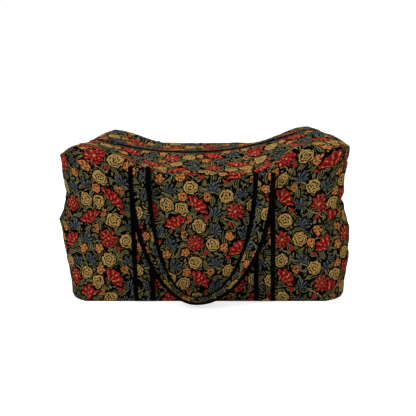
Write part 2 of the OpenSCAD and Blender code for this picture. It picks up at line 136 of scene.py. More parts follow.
class Paint:
    """A material and its nodes."""

    def __init__(self, name):
        self.material = bpy.data.materials.new(name)
        self.material.use_nodes = True
        self.tree = self.material.node_tree
        self.shader = self.tree.nodes["Principled BSDF"]

    def node(self, kind, settings=None, sockets=None, out=0):
        made = self.tree.nodes.new(kind)
        for key, value in (settings or {}).items():
            setattr(made, key, value)
        for key, value in (sockets or {}).items():
            self.put(made.inputs[key], value)
        return Wire(self, made.outputs[out])

    def put(self, socket, value):
        if isinstance(value, Wire):
            self.tree.links.new(value.socket, socket)
        else:
            socket.default_value = value

    def math(self, operation, *values):
        return self.node("ShaderNodeMath", {"operation": operation}, dict(enumerate(values)))

    def vector(self, operation, *values, scale=None, out=0):
        sockets = dict(enumerate(values))
        if scale is not None:
            sockets["Scale"] = scale
        return self.node("ShaderNodeVectorMath", {"operation": operation}, sockets, out)

    def blend(self, share, a, b):
        """Colour a where the share is 0 and colour b where it is 1."""
        sockets = {"Factor": share, 6: a, 7: b}
        return self.node("ShaderNodeMix", {"data_type": "RGBA"}, sockets, out=2)

    def blend_places(self, share, a, b):
        sockets = {"Factor": share, 4: a, 5: b}
        return self.node("ShaderNodeMix", {"data_type": "VECTOR"}, sockets, out=1)

    def step(self, low, high, value):
        """Rises smoothly from 0 at low to 1 at high."""
        sockets = {"Value": value, "From Min": low, "From Max": high}
        return self.node("ShaderNodeMapRange", {"interpolation_type": "SMOOTHSTEP"}, sockets)

    def noise(self, place, scale, detail=2.0, space="2D", out=0):
        sockets = {"Vector": place, "Scale": scale, "Detail": detail}
        return self.node("ShaderNodeTexNoise", {"noise_dimensions": space}, sockets, out)

    def split(self, place):
        parts = self.node("ShaderNodeSeparateXYZ", None, {0: place})
        outputs = parts.socket.node.outputs
        return Wire(self, outputs[0]), Wire(self, outputs[1])

    def finish(self, colour, roughness=None, height=None, depth=0.0, **constants):
        """Feeds the shader, with a bump of the given depth in metres."""
        self.put(self.shader.inputs["Base Color"], colour)
        if roughness is not None:
            self.put(self.shader.inputs["Roughness"], roughness)
        if height is not None:
            bump = self.node("ShaderNodeBump", None, {"Height": height, "Distance": depth})
            self.put(self.shader.inputs["Normal"], bump)
        for key, value in constants.items():
            self.put(self.shader.inputs[key.replace("_", " ")], value)
        return self.material

# %% [markdown]
# ## The shape of the bag
# The bag is a filled cloth box on a stiff base. Its front and back swell a little, its ends
# swell low down and have a level crease higher up, and its top sags between the seams. The
# CAD part lofts this from a few sizes. The same sizes and formulas stand here, so that a
# panel with a hundred times the points lies on the CAD panel. Lengths are in millimetres
# until the mesh is made.

# %% Sizes shared with the CAD part
BASE_LENGTH, BASE_DEPTH, CLOTH = 556.0, 270.0, 1.8
FRONT_HEIGHT, BACK_LIFT = 258.0, 27.0
FRONT_RISES, BACK_RISES, END_DROPS = (50.0, 51.0), (30.0, 36.0), (12.0, 16.0)
FRONT_LEFT_FROM, FRONT_RIGHT_FROM, FRONT_RIGHT_TO, BACK_FROM = 0.3, 0.36, 0.72, 0.42
END_BULGE, BULGE_TOP, SIDE_BULGE = 9.0, 0.5, 5.0
END_CREASE, CREASE_AT, CREASE_HALF = 12.0, 0.69, 0.15
END_SHOULDER, SIDE_SHOULDER, SHOULDER_POWER = 28.0, 3.0, 22
END_FOLD, FOLD_COUNT, SIDE_WAVE, WAVE_COUNT = 3.0, 2.5, 1.2, 3.2
LEAN, SLUMP, FOOT, SLIP, TOP_SAG = 11.0, 9.0, 6.0, 18.0, 5.0
LEAN_POWER, SLUMP_POWER, SLIP_POWER = 4, 1.8, 5
BACK_DRAW, DRAW_POWER = 0.12, 3
CORNER_LOW, CORNER_HIGH, CORNER_SWELL = 0.16, 0.06, 0.04
CORNER_POWER, CORNER_HIGH_POWER = 6, 8
ZIP_RADIUS, ZIP_RISE, ZIP_LEFT = 640.0, 17.6, 35.0
SLOT, TAPE_EDGE, TAPE_THICK, SEAT_MARGIN, SEAT_GAP = 15.0, 16.5, 0.8, 1.5, 0.25
COLUMN_COUNT, COLUMN_EVEN, TAB_COLUMNS = 26, 0.55, (3, 4)
FRONT, BACK, LEFT, RIGHT = -1, 1, -1, 1

# The slumped bag leans off its base, and the CAD part moves it this far to centre it
SHIFT_X = 2.089


def degrees_sin(angle):
    return np.sin(np.radians(angle))


def smooth(low, high, value):
    share = np.clip((value - low) / (high - low), 0, 1)
    return share * share * (3 - 2 * share)


# %% [markdown]
# A place on the bag has three shares: `xi` runs from the left end at -1 to the right end at
# 1, `eta` from the front at -1 to the back at 1, and `t` from the base at 0 to the top seam
# at 1. An inset moves the place inwards, and a negative one lifts it out as a fold.

# %% Plan of the bag at each height
def half_length(t):
    bulge = END_BULGE * degrees_sin(90 * np.minimum(1, t / BULGE_TOP)) ** 2
    crease = END_CREASE * np.exp(-((t - CREASE_AT) / CREASE_HALF) ** 2)
    return BASE_LENGTH / 2 + bulge - crease - END_SHOULDER * t ** SHOULDER_POWER


def half_depth(t):
    shoulder = SIDE_SHOULDER * t ** SHOULDER_POWER
    return BASE_DEPTH / 2 + SIDE_BULGE * degrees_sin(180 * t) - shoulder


def plan_x(xi, eta, t, inset):
    half_way = degrees_sin(180 * t)
    folds = END_FOLD * half_way * (1 - eta ** 2) * degrees_sin(180 * (FOLD_COUNT * eta + t))
    cut = CORNER_LOW + CORNER_SWELL * half_way
    cut = cut - (CORNER_LOW - CORNER_HIGH) * t ** CORNER_HIGH_POWER
    draw = 1 - BACK_DRAW * t ** DRAW_POWER * (eta + 1) / 2
    slide = LEAN * t ** LEAN_POWER * eta ** 2 + SLIP * half_way * ((1 - eta) / 2) ** SLIP_POWER
    slide = slide - SLUMP * degrees_sin(180 * t ** SLUMP_POWER) + FOOT * (1 - t) ** 2
    reach = half_length(t) + folds * np.abs(xi) - inset
    return reach * xi * (1 - cut * np.abs(eta) ** CORNER_POWER) * draw + slide + SHIFT_X


def plan_y(xi, eta, t, inset):
    waves = SIDE_WAVE * degrees_sin(180 * t) * (1 - xi ** 2)
    waves = waves * degrees_sin(180 * (WAVE_COUNT * xi + t))
    return (half_depth(t) + waves * np.abs(eta) - inset) * eta


# %% [markdown]
# The zip sags on a circular arc between the two cloth tabs at its ends. From the level seat
# that covers the zip's tapes, the top slopes to the front and back seams, which rise to the
# bag's corners. Two small forms are new here: the seam over each end dips and rolls a little,
# and doubled seams pull some corners out like ears, at the top or at the foot. High powers of
# the shares keep both close to their seam or corner.

# %% Height of the top
def column(index):
    share = 2 * index / COLUMN_COUNT - 1
    return COLUMN_EVEN * share + (1 - COLUMN_EVEN) * float(degrees_sin(90 * share))


TAB_XI = (column(TAB_COLUMNS[0]), column(COLUMN_COUNT - TAB_COLUMNS[1]))
ZIP_CENTRE = (SHIFT_X - ZIP_LEFT, FRONT_HEIGHT + ZIP_RISE + ZIP_RADIUS)
SLOT_ABOVE = TAPE_THICK / 2 + SEAT_GAP + CLOTH
SLOT_ETA = SLOT / 2 / float(half_depth(1))
SEAT_ETA = (TAPE_EDGE + SEAT_MARGIN) / float(half_depth(1))


def zip_height(x, above):
    return ZIP_CENTRE[1] - np.sqrt((ZIP_RADIUS - above) ** 2 - (x - ZIP_CENTRE[0]) ** 2)


def middle_height(xi):
    x = plan_x(xi, 0 * xi, 1, 0)
    height = zip_height(x, SLOT_ABOVE)
    for side, tab, drop in zip((LEFT, RIGHT), TAB_XI, END_DROPS):
        start, end = plan_x(tab, 0, 1, 0), plan_x(side, 0, 1, 0)
        past = start - ZIP_CENTRE[0]
        slope = past / math.sqrt(ZIP_RADIUS ** 2 - past ** 2)
        share = (x - start) / (end - start)
        over = zip_height(start, SLOT_ABOVE) + slope * (x - start) - drop * share ** 2
        height = np.where(side * xi > side * tab, over, height)
    return height


def seam_height(xi, eta):
    front = FRONT_RISES[0] * smooth(FRONT_LEFT_FROM, 1, -xi)
    front = front + FRONT_RISES[1] * smooth(FRONT_RIGHT_FROM, FRONT_RIGHT_TO, xi)
    back = BACK_RISES[0] * smooth(BACK_FROM, 1, -xi) + BACK_RISES[1] * smooth(BACK_FROM, 1, xi)
    return FRONT_HEIGHT + np.where(eta < 0, front, BACK_LIFT + back)


# Place from front to back, width and height of each form in the seam over an end
END_FORMS = {LEFT: ((0.5, 0.25, -9.0), (-0.6, 0.2, 2.5)), RIGHT: ((0.25, 0.3, -10.0),)}
# How far each corner is pulled out
TOP_EARS = {(FRONT, LEFT): 16.0, (FRONT, RIGHT): 6.0, (BACK, RIGHT): 12.0}
FOOT_EARS = {(FRONT, LEFT): 9.0}
FORM_POWER, EAR_POWER_X, EAR_POWER_Y, EAR_POWER_Z = 12, 24, 8, 10


def end_forms(xi, eta):
    """How far the dips and rolls of the end seams lift the top, fading out along the bag."""
    rise = 0.0
    for end, forms in END_FORMS.items():
        near = np.maximum(0, end * xi) ** FORM_POWER
        for place, width, size in forms:
            rise = rise + near * size * np.exp(-((eta - place) / width) ** 2)
    return rise


def ears(xi, eta, t):
    """How far the corners' seams pull a place outwards along X."""
    pull = 0.0
    for sizes, closeness in ((TOP_EARS, t), (FOOT_EARS, 1 - t)):
        for (side, end), size in sizes.items():
            corner = np.maximum(0, end * xi) ** EAR_POWER_X
            corner = corner * np.maximum(0, side * eta) ** EAR_POWER_Y
            pull = pull + end * size * corner * closeness ** EAR_POWER_Z
    return pull


def top_height(xi, eta):
    share = np.maximum(0, np.abs(eta) - SEAT_ETA) / (1 - SEAT_ETA)
    middle = middle_height(xi)
    sag = TOP_SAG * degrees_sin(180 * share) * (1 - xi ** 4)
    return middle + (seam_height(xi, eta) - middle) * share - sag + end_forms(xi, eta)


def wall_place(xi, eta, t, inset):
    x = plan_x(xi, eta, t, inset) + ears(xi, eta, t)
    height = t * (top_height(xi, eta) - inset)
    return np.stack([x, plan_y(xi, eta, t, inset), height], axis=-1)


def top_place(xi, eta, inset):
    x = plan_x(xi, eta, 1, inset) + ears(xi, eta, 1)
    height = top_height(xi, eta) - inset
    return np.stack([x, plan_y(xi, eta, 1, inset), height], axis=-1)


print("zip tabs begin at shares", [round(v, 3) for v in TAB_XI])
print("front seam's middle:", top_height(np.array(0.0), np.array(-1.0)).round(1), "mm")

# %% [markdown]
# ## Folds
# Filled cloth is never as smooth as a formula. What is packed inside pushes out broad lumps,
# each seam draws the cloth into a groove with small puckers beside it, and tension runs from
# the corners as shallow diagonal drags. These are added as a relief, a height above the
# panel, that fades out at the seams, so that neighbouring panels still meet there.

# %% Relief of the filled cloth
GROOVE, GROOVE_WIDTH = 2.4, 3.6
PUCKER, PUCKER_REACH, PUCKER_PITCH = 1.1, 9.0, 11.0
LUMPS, LUMP_FADE = ((95.0, 3.4), (42.0, 1.5), (19.0, 0.5)), 22.0
DRAG, DRAG_LENGTH, DRAG_WIDTH = 1.3, 120.0, 17.0


def rumple(u, v, wave, seed):
    """Perlin noise from -1 to 1 over cloth coordinates in millimetres."""
    points = zip((u / wave).ravel(), (v / wave).ravel())
    values = [noise.noise(Vector((a, b, seed))) for a, b in points]
    return np.array(values).reshape(u.shape)


def seam_groove(distance):
    return GROOVE * np.exp(-(distance / GROOVE_WIDTH) ** 2)


def puckers(distance, along, seed):
    near = distance / PUCKER_REACH * np.exp(1 - distance / PUCKER_REACH)
    return PUCKER * near * rumple(along, 0 * along, PUCKER_PITCH, seed)


def lumps(u, v, edge, seed):
    fade = 1 - np.exp(-(edge / LUMP_FADE) ** 2)
    height = sum(size * rumple(u, v, wave, seed + wave) for wave, size in LUMPS)
    slant = (u + v) / math.sqrt(2)
    across = (u - v) / math.sqrt(2)
    drags = 1 - 2 * np.abs(rumple(slant * DRAG_WIDTH / DRAG_LENGTH, across, DRAG_WIDTH, seed))
    return fade * (height + DRAG * drags)


def filled_wall(along, rise, ends, t, tall, seed, fullness=1.0):
    """A wall's relief and its seams' grooves, from its height and the distance to its ends."""
    above, below = (1 - t) * tall, t * tall
    edge = np.minimum(np.minimum(ends, above), below)
    height = fullness * lumps(along, rise, edge, seed)
    gathers = puckers(above, along, seed + 1) + puckers(ends, rise, seed + 2)
    height += gathers + puckers(below, along, seed + 3)
    return height, seam_groove(edge)


# %% [markdown]
# The ends fold along level lines above what is packed, where the bag is no longer full. Each
# line is a sharp crease with a soft roll of cloth over it, and runs on a little way round
# the corner. The right end has slumped more, so its main crease is the deeper one. At the
# left end something hard in the bag pushes out a ridge below the creases, and both ends have
# a sharp fold under the top seam.

# %% Creases of the ends
# Height on the wall and depth of each crease
CREASES = {LEFT: ((0.68, 2.5), (0.86, 1.6)), RIGHT: ((0.635, 5.0), (0.885, 3.0), (0.3, 1.5))}
CREASE_WIDTH, CREASE_SWAY, CREASE_WAVE = 0.02, 0.025, 60
ROLL_RISE, ROLL_SHARE = 0.055, 0.6
# Height on the wall, size and width of each ridge
RIDGES = {LEFT: ((0.485, 8.0, 0.05), (0.905, 4.5, 0.02)),
          RIGHT: ((0.45, 2.0, 0.05), (0.95, 4.5, 0.025))}
RIDGE_SWAY, RIDGE_WAVE = 0.02, 80


def creases(side, across, t, seed):
    """Creases, the rolls over them, and ridges, as a height above the end wall."""
    height = 0 * t
    for place, depth in CREASES[side]:
        line = place + CREASE_SWAY * rumple(across, 0 * across, CREASE_WAVE, seed + place)
        height -= depth * np.exp(-((t - line) / CREASE_WIDTH) ** 2)
        height += ROLL_SHARE * depth * np.exp(-((t - line - ROLL_RISE) / ROLL_RISE) ** 2)
    for place, size, width in RIDGES[side]:
        away = np.abs(t - place - RIDGE_SWAY * rumple(across, 0 * across, RIDGE_WAVE, seed))
        height += size * np.exp(-away / width)
    return height


# %% [markdown]
# ## Cloth panels
# Each panel is cut from flat cloth and keeps the pattern's scale wherever it is stretched
# to. So it starts as a flat grid, whose own shares of width and height become the places on
# the bag, while its UV map keeps the place on the cloth in metres. Solidify then gives the
# lined cloth its thickness on the inside. The two cloths get their names here, and their
# colours further down.

# %% From a flat grid to a hanging panel
# The black webbing also goes on the top panels' cut edges, as painted shade beside the zip.
tapestry, webbing_and_slot_shade = Paint("tapestry"), Paint("black_webbing")


def flat_grid(name, columns, rows):
    """A new grid whose points run from -1 to 1 both ways, and those points."""
    bpy.ops.object.select_all(action="DESELECT")
    bpy.ops.mesh.primitive_grid_add(x_subdivisions=columns, y_subdivisions=rows, size=2)
    piece = bpy.context.object
    piece.name = piece.data.name = name
    flat = np.empty(3 * len(piece.data.vertices))
    piece.data.vertices.foreach_get("co", flat)
    flat = flat.reshape(-1, 3)
    return piece, flat[:, 0], flat[:, 1]


def hang(piece, places, cloth):
    """Moves the grid's points to places in millimetres, and maps them to the cloth."""
    mesh = piece.data
    mesh.vertices.foreach_set("co", (places * MM).ravel())
    corners = np.empty(len(mesh.loops), dtype=np.int32)
    mesh.loops.foreach_get("vertex_index", corners)
    mesh.uv_layers[0].data.foreach_set("uv", (cloth[corners] * MM).ravel())
    mesh.update()


def unrolled(share, shares, curve):
    """How far over the cloth each share lies from the middle of a curve."""
    steps = np.linalg.norm(np.diff(curve, axis=0), axis=1)
    lengths = np.concatenate([[0], np.cumsum(steps)])
    return np.interp(share, shares, lengths - lengths[-1] / 2)


def face_away(piece, inside):
    """Turns the faces of an open sheet away from a point inside the bag."""
    middle = piece.data.polygons[len(piece.data.polygons) // 2]
    if (middle.center - Vector(inside) * MM).dot(middle.normal) > 0:
        return
    bpy.ops.object.mode_set(mode="EDIT")
    bpy.ops.mesh.select_all(action="SELECT")
    bpy.ops.mesh.flip_normals()
    bpy.ops.object.mode_set(mode="OBJECT")


def thicken(piece, thickness, *paints, offset=-1.0):
    """Gives the piece its cloth, and a second one for its cut edges if there are two."""
    for paint in paints:
        piece.data.materials.append(paint.material)
    solid = piece.modifiers.new("thickness", "SOLIDIFY")
    solid.material_offset_rim = len(paints) - 1
    solid.thickness = thickness * MM
    solid.offset = offset
    bpy.ops.object.modifier_apply(modifier=solid.name)
    bpy.ops.object.shade_smooth_by_angle(angle=math.radians(50))
    print(f"{piece.name}: {len(piece.data.polygons)} faces")


def dress(piece, node):
    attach(piece, "bag")
    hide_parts(node)


BAG_MIDDLE = (0, 0, 140)
SHARES = np.linspace(-1, 1, 161)


def sew_in(piece, places, cloth, node, *paints):
    """Hangs a panel, thickens it towards the inside and puts it in its node's place."""
    hang(piece, places, cloth)
    face_away(piece, BAG_MIDDLE)
    thicken(piece, CLOTH, *paints)
    dress(piece, node)

# %% [markdown]
# The front and back walls carry the straps, which are sewn down flat, so the relief also
# fades out behind them. A wall's pattern stands upright, and follows the sag of the top seam
# half-way, as the real panels do, because they were cut a little taller at the corners. It is
# measured over the cloth, round the corners, so that a flower keeps its width there.

# %% Straps' places on the walls
STRAP_X, STRAP_LEAN = 117.5, 5.5
STRAP_DROPS = {FRONT: 4.0, BACK: 9.0}
BAND, BAND_THICK, BINDING, BINDING_THICK = 23.0, 2.0, 9.5, 2.8
SEWN_GAP, BINDING_GAP = 0.4, 0.2
HALF_STRAP = BAND / 2 + BINDING
STRAP_MARGIN, STRAP_FADE = 1, 16


def strap_middle(hand, t):
    return hand * STRAP_X - STRAP_LEAN * t


def clear_of_straps(x, t):
    """0 behind a strap and 1 well away from it."""
    near = [np.abs(x - SHIFT_X - strap_middle(hand, t)) for hand in (LEFT, RIGHT)]
    return smooth(HALF_STRAP + STRAP_MARGIN, HALF_STRAP + STRAP_FADE, np.minimum(*near))


# %% The long walls
CREASES_FROM, CREASES_FULL, CREASES_END = 0.72, 0.92, 0.965


def long_wall(name, side, node, seed):
    piece, xi, up = flat_grid(name, 230, 104)
    t = (up + 1) / 2
    flat = wall_place(xi, side, t, 0)
    x, z = flat[:, 0], flat[:, 2]
    ends = (1 - np.abs(xi)) * BASE_LENGTH / 2
    height, groove = filled_wall(x, z, ends, t, FRONT_HEIGHT, seed)
    height *= clear_of_straps(x, t)
    for end in (LEFT, RIGHT):
        corner = smooth(CREASES_FROM, CREASES_FULL, end * xi)
        corner = corner * smooth(1.0, CREASES_END, end * xi)
        height += corner * creases(end, x, t, seed + 4)
    around = wall_place(SHARES, side, 0.5 + 0 * SHARES, 0)[:, :2]
    across = -side * unrolled(xi, SHARES, around)
    cloth = np.stack([across, (z + t * FRONT_HEIGHT) / 2], axis=-1)
    sew_in(piece, wall_place(xi, side, t, groove - height), cloth, node, tapestry)


long_wall("front_wall_cloth", FRONT, "front_panel", 3.1)
long_wall("back_wall_cloth", BACK, "back_panel", 17.7)

# %% [markdown]
# The ends have no strap, and are a little fuller. Their creases fade out at the corner seams.
# Their pattern is measured over the cloth both ways, because they bulge and crease.

# %% The end walls
END_FULLNESS, END_CLOTH = 1.4, 95


def end_wall(name, side, node, seed):
    piece, eta, up = flat_grid(name, 120, 110)
    t = (up + 1) / 2
    flat = wall_place(side, eta, t, 0)
    y, z = flat[:, 1], flat[:, 2]
    ends = (1 - np.abs(eta)) * BASE_DEPTH / 2
    tall = float(seam_height(np.array(float(side)), np.array(-1.0)))
    height, groove = filled_wall(y, z, ends, t, tall, seed, fullness=END_FULLNESS)
    height += creases(side, y, t, seed + 4) * (1 - eta ** 8)
    around = wall_place(side, SHARES, 0.5 + 0 * SHARES, 0)[:, :2]
    upright = wall_place(side, 0 * SHARES, (SHARES + 1) / 2, 0)
    rise = unrolled(up, SHARES, upright) + (z - t * upright[-1, 2]) / 2
    cloth = np.stack([side * unrolled(eta, SHARES, around) + END_CLOTH, rise], axis=-1)
    sew_in(piece, wall_place(side, eta, t, groove - height), cloth, node, tapestry)


end_wall("left_end_cloth", LEFT, "left_end_panel", 29.3)
end_wall("right_end_cloth", RIGHT, "right_end_panel", 41.9)

# %% [markdown]
# The two top panels leave a slot for the zip. Their cut edges get the black webbing, which
# along the slot is painted shade of the fold beside the zip. The front edge sinks towards the
# zip and the back edge stands up a little, so that from the front the zip and this painted
# shade show as a dark line. Past the zip's ends, a cloth tab on each side closes the slot.

# %% The top
SLOT_SINK, SLOT_SINK_WIDTH = 1.0, 9.0
SLOT_LIFT, SLOT_LIFT_WIDTH = 1.4, 7.0
TOP_FULLNESS, TAPE_FADE = 0.8, 14
TOP_CLOTH = (31, 64)


def top_panel(name, side, node, seed):
    piece, xi, across = flat_grid(name, 230, 46)
    eta = side * (SLOT_ETA + (1 - SLOT_ETA) * (across + 1) / 2)
    flat = top_place(xi, eta, 0)
    x, y = flat[:, 0], flat[:, 1]
    outer = (1 - np.abs(eta)) * BASE_DEPTH / 2
    inner = (np.abs(eta) - SLOT_ETA) * BASE_DEPTH / 2
    ends = (1 - np.abs(xi)) * BASE_LENGTH / 2
    edge = np.minimum(outer, ends)
    gathers = puckers(outer, x, seed + 1) + puckers(ends, y, seed + 2)
    height = TOP_FULLNESS * lumps(x, y, edge, seed) + gathers
    height *= smooth(TAPE_EDGE, TAPE_EDGE + TAPE_FADE, np.abs(y))
    groove = seam_groove(edge)
    if side == FRONT:
        groove += SLOT_SINK * np.exp(-(inner / SLOT_SINK_WIDTH) ** 2)
    else:
        height += SLOT_LIFT * np.exp(-(inner / SLOT_LIFT_WIDTH) ** 2)
    cloth = np.stack([x, side * outer], axis=-1) + TOP_CLOTH
    # The second paint goes on the cut edges: black webbing as painted shade beside the zip.
    sew_in(piece, top_place(xi, eta, groove - height), cloth, node, tapestry, webbing_and_slot_shade)


def zip_tab(name, side, node):
    piece, along, across = flat_grid(name, 20, 8)
    tab = TAB_XI[0] if side == LEFT else TAB_XI[1]
    xi = side + (tab - side) * (along + 1) / 2
    ends = (1 - np.abs(xi)) * BASE_LENGTH / 2
    places = top_place(xi, across * SLOT_ETA, seam_groove(ends))
    sew_in(piece, places, places[:, :2] + TOP_CLOTH, node, tapestry)


top_panel("top_front_cloth", FRONT, "top_front_panel", 53.3)
top_panel("top_back_cloth", BACK, "top_back_panel", 61.7)
zip_tab("left_tab_cloth", LEFT, "left_zip_tab")
zip_tab("right_tab_cloth", RIGHT, "right_zip_tab")

# %% [markdown]
# The base is a flat panel under the board. It lies a little inside the walls, and is a little
# thinner than they are.

# %% The base cloth
BASE_GAP, BASE_SPARE = 0.1, 0.2

piece, xi, eta = flat_grid("base_cloth", 90, 50)
places = wall_place(xi, eta, 0 * xi, CLOTH + BASE_GAP)
places[:, 2] = CLOTH - BASE_SPARE
hang(piece, places, places[:, :2])
face_away(piece, (0, 0, -100))
thicken(piece, CLOTH - 2 * BASE_SPARE, tapestry)
dress(piece, "base_panel")

# %% [markdown]
# ## Straps
# One long strap on each side is sewn up the wall, bends forward at the top seam, hangs as
# the handle, and runs down the wall again. Its middle line is a path: a straight climb, a
# small half circle, and half an ellipse that turns flat at its lowest point, where it lies
# before the bag. Each station of the path also says which way the strap's width points.

# %% The path of a strap
STRAP_FOOT, FOLD_RADIUS = 2.0, 6.0
HANDLE_DROP, HANDLE_SLEW, HANDLE_TURN = 245.0, 13.0, 88.0
TURN_POWER, HANG_CLEAR = 1.3, 0.7
CLIMB_STATIONS, BEND_STATIONS, HANDLE_STATIONS = 60, 18, 170


def wall_share(x, side, t):
    start, end = plan_x(0, side, t, 0), plan_x(1, side, t, 0)
    return (x - start) / (end - start)


def seam_behind(hand, side):
    x = strap_middle(hand, 1) + SHIFT_X
    return float(seam_height(wall_share(x, side, 1), side))


def strap_depth(hand, side, t):
    """How far out the strap's middle line lies, clear of the wall across its width."""
    outs = []
    for share in (-1, -0.5, 0, 0.5, 1):
        x = strap_middle(hand, t) + SHIFT_X + share * HALF_STRAP
        xi = wall_share(x, side, t)
        own_t = min(1.0, t * seam_behind(hand, side) / float(seam_height(xi, side)))
        outs.append(abs(float(plan_y(xi, side, own_t, 0))))
    return max(outs) + SEWN_GAP + BINDING_THICK / 2


def bend_start(hand, side):
    """The height at which a strap leaves the wall, and its share of the wall there."""
    top = seam_behind(hand, side) - STRAP_DROPS[side] - FOLD_RADIUS
    return top, top / seam_behind(hand, side)


def climb(hand, side, stations):
    top, t_top = bend_start(hand, side)
    for z in np.linspace(STRAP_FOOT, top, stations):
        t = t_top * z / top
        yield (strap_middle(hand, t), side * strap_depth(hand, side, t), z), (hand, 0, 0)


def bend(hand, side, stations):
    top, t_top = bend_start(hand, side)
    depth = strap_depth(hand, side, t_top) + FOLD_RADIUS
    for angle in np.linspace(0, math.pi, stations)[1:-1]:
        y = side * (depth - FOLD_RADIUS * math.cos(angle))
        yield (strap_middle(hand, t_top), y, top + FOLD_RADIUS * math.sin(angle)), (hand, 0, 0)


def handle(side, stations):
    lowest_x = -STRAP_LEAN - HANDLE_SLEW
    tops, depths, halves = [], [], []
    for hand in (LEFT, RIGHT):
        top, t_top = bend_start(hand, side)
        tops.append(top)
        depths.append(strap_depth(hand, side, t_top) + 2 * FOLD_RADIUS)
        halves.append(abs(strap_middle(hand, t_top) - lowest_x))
    for angle in np.linspace(-math.pi / 2, math.pi / 2, stations):
        sine, cosine = math.sin(angle), max(0.0, math.cos(angle))
        half = halves[0] if angle < 0 else halves[1]
        turn = math.radians(HANDLE_TURN * cosine ** TURN_POWER)
        share = (sine + 1) / 2
        top = tops[0] + (tops[1] - tops[0]) * share
        depth = depths[0] + (depths[1] - depths[0]) * share
        tangent = Vector((half * cosine, 0, HANDLE_DROP * sine)).normalized()
        outward = Vector((tangent.z, 0, -tangent.x)) * math.cos(turn)
        outward.y = side * math.sin(turn)
        y = side * (depth + HANG_CLEAR * HALF_STRAP * math.sin(turn))
        yield (lowest_x + half * sine, y, top - HANDLE_DROP * cosine), outward


def strap_path(side):
    stations = [*climb(LEFT, side, CLIMB_STATIONS), *bend(LEFT, side, BEND_STATIONS)]
    stations += handle(side, HANDLE_STATIONS)
    right = [*climb(RIGHT, side, CLIMB_STATIONS), *bend(RIGHT, side, BEND_STATIONS)]
    stations += reversed(right)
    middle = np.array([place for place, width in stations]) + (SHIFT_X, 0, 0)
    width = np.array([tuple(width) for place, width in stations])
    tangent = np.gradient(middle, axis=0)
    tangent /= np.linalg.norm(tangent, axis=1, keepdims=True)
    face = -side * np.cross(tangent, width)
    face /= np.linalg.norm(face, axis=1, keepdims=True)
    steps = np.linalg.norm(np.diff(middle, axis=0), axis=1)
    return np.concatenate([[0], np.cumsum(steps)]), middle, width, face


# %% [markdown]
# Whatever belongs to a strap is made straight first: its length along X, its width along Y
# and its outer face up. This helper then lays it along the path, point by point.

# %% Laying a straight piece along a strap
def lay_along(path, length, across, lift):
    lengths, *tracks = path
    middle, width, face = [
        np.stack([np.interp(length, lengths, track[:, k]) for k in range(3)], axis=-1)
        for track in tracks]
    return middle + width * across[:, None] + face * lift[:, None]


# %% [markdown]
# The band is tapestry, crowned a little by the cloth folded inside it. The black binding is a
# tape that is folded round the band's edge, so it starts as a flat strip too, and its width
# follows a section shaped like a U on its side.

# %% Bands and bindings
BAND_CROWN, BAND_TUCK, BAND_RIPPLE, BAND_WAVE, BAND_CLOTH = 0.45, 3.0, 0.25, 16, 20
BINDING_TAPE, BINDING_RIPPLE, BINDING_WAVE, BINDING_CLOTH = 0.7, 0.2, 9, 7


def strap_band(name, side, path, node):
    piece, along, across = flat_grid(name, 420, 12)
    length = (along + 1) / 2 * path[0][-1]
    offset = across * (BAND / 2 + BAND_TUCK)
    ripple = BAND_RIPPLE * rumple(length, offset, BAND_WAVE, side + 5.3)
    lift = BAND_CROWN * (1 - across ** 2) + ripple
    cloth = np.stack([offset + BAND_CLOTH, length], axis=-1)
    hang(piece, lay_along(path, length, offset, lift), cloth)
    thicken(piece, BAND_THICK, tapestry, offset=0)
    dress(piece, node)


def fold_section(share):
    """A tape's section, from one arm's edge round the fold to the other's, as share -1 to 1."""
    inner = BAND / 2 + BINDING_GAP
    radius = (BINDING_THICK - BINDING_TAPE) / 2
    arm = BINDING - BINDING_GAP - BINDING_TAPE / 2 - radius
    total = arm + radius * math.pi / 2
    run = (1 - np.abs(share)) * total
    angle = np.clip((run - arm) / radius, 0, math.pi / 2)
    offset = inner + np.minimum(run, arm) + radius * np.sin(angle)
    return offset, -np.sign(share) * radius * np.cos(angle)


def strap_binding(name, side, path, edge, node):
    piece, along, across = flat_grid(name, 420, 18)
    length = (along + 1) / 2 * path[0][-1]
    offset, lift = fold_section(across)
    lift = lift + BINDING_RIPPLE * rumple(length, 0 * length, BINDING_WAVE, side + 2 * edge + 8.1)
    cloth = np.stack([across * BINDING_CLOTH, length], axis=-1)
    hang(piece, lay_along(path, length, edge * offset, lift), cloth)
    thicken(piece, BINDING_TAPE, webbing_and_slot_shade, offset=0)
    dress(piece, node)


# %% [markdown]
# The bindings are held by a row of black stitches. One stitch is a short six-sided thread
# with rounded ends. An Array modifier repeats it at the stitch's pitch, and the whole row is
# then laid along the strap.

# %% Stitches
STITCH, STITCH_PITCH, STITCH_INSET, THREAD = 2.6, 3.6, 1.1, 0.6


def stitch(name):
    """One stitch along X, in millimetres."""
    bpy.ops.object.select_all(action="DESELECT")
    bpy.ops.mesh.primitive_cylinder_add(vertices=6, radius=THREAD / 2, depth=STITCH,
                                        rotation=(0, math.pi / 2, 0))
    piece = bpy.context.object
    piece.name = piece.data.name = name
    bpy.ops.object.transform_apply(location=True, rotation=True)
    bpy.ops.object.mode_set(mode="EDIT")
    bpy.ops.mesh.select_all(action="SELECT")
    bpy.ops.mesh.bevel(offset=THREAD / 4, segments=1)
    bpy.ops.object.mode_set(mode="OBJECT")
    return piece


